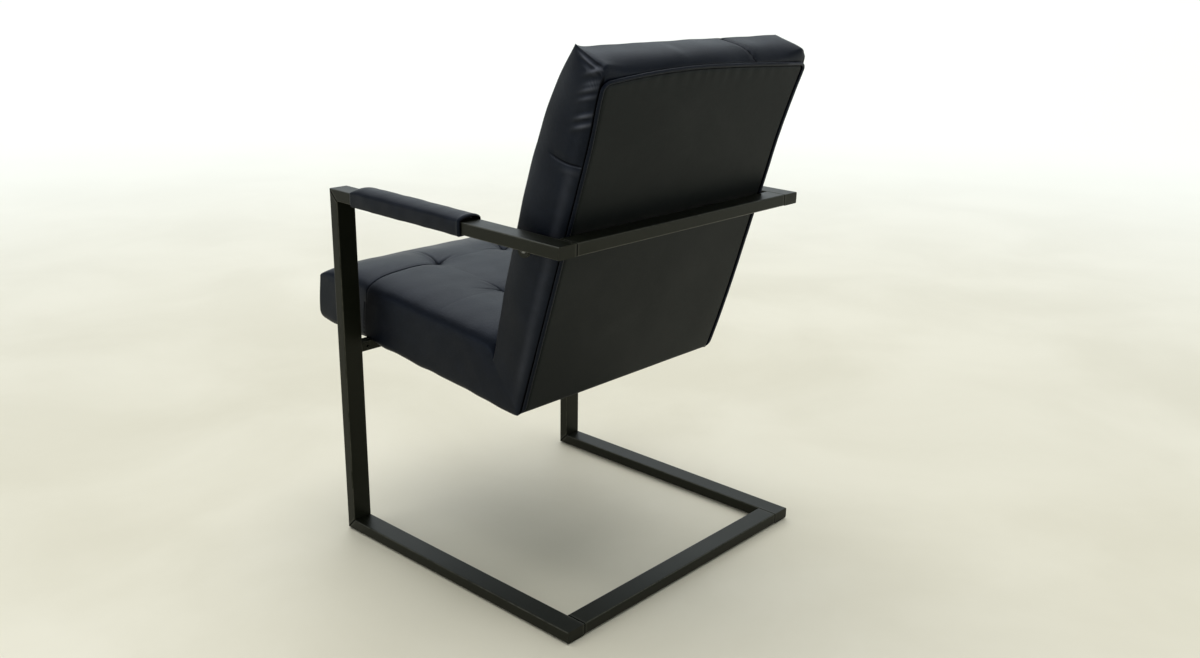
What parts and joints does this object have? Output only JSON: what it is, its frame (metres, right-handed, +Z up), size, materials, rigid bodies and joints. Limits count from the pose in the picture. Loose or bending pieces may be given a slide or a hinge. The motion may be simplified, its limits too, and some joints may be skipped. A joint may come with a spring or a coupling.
{
  "type": "cantilever armchair",
  "caption": "Cantilever armchair: a C-shaped frame of flat steel tube carries a tufted leather seat and leaning back, with leather sleeves on its arm rails.",
  "frame": {"origin": "middle of the footprint's box on the floor, under the glides", "axes": "+X to the sitter's left, -Y the way the sitter faces, +Z up"},
  "size_m": [0.605, 0.7126, 0.9017],
  "materials": {
    "frame_steel": "satin bronze-black paint",
    "zinc_steel": "zinc plated",
    "glide_plastic": "matte black",
    "plywood": "bare",
    "black_cloth": "woven black",
    "black_leather": "satin blue-black",
    "panel_leather": "matte black",
    "pad_foam": "open foam"
  },
  "bodies": {
    "root": {"left_upright": "frame_steel", "right_upright": "frame_steel", "left_arm_rail": "frame_steel", "right_arm_rail": "frame_steel", "left_base_rail": "frame_steel", "right_base_rail": "frame_steel", "base_crossbar": "frame_steel", "back_crossbar": "frame_steel", "seat_bar": "frame_steel", "rail_end_plates": "frame_steel", "left_arm_tab": "frame_steel", "right_arm_tab": "frame_steel", "side_spacers": "zinc_steel", "side_bolts": "zinc_steel", "side_tee_nuts": "zinc_steel", "seat_bolts": "zinc_steel", "seat_tee_nuts": "zinc_steel", "front_left_glide": "glide_plastic", "front_right_glide": "glide_plastic", "rear_left_glide": "glide_plastic", "rear_right_glide": "glide_plastic", "left_cheek": "plywood", "right_cheek": "plywood", "seat_front_rail": "plywood", "seat_bolt_rail": "plywood", "seat_rear_rail": "plywood", "back_lumbar_rail": "plywood", "back_top_rail": "plywood", "seat_webbing": "black_cloth", "back_webbing": "black_cloth", "dust_cover": "black_cloth", "seat_cushion": "black_leather", "back_cushion": "black_leather", "welt_piping": "black_leather", "left_arm_sleeve": "black_leather", "right_arm_sleeve": "black_leather", "rear_panel": "panel_leather", "left_arm_pad": "pad_foam", "right_arm_pad": "pad_foam"}
  },
  "joints": []
}
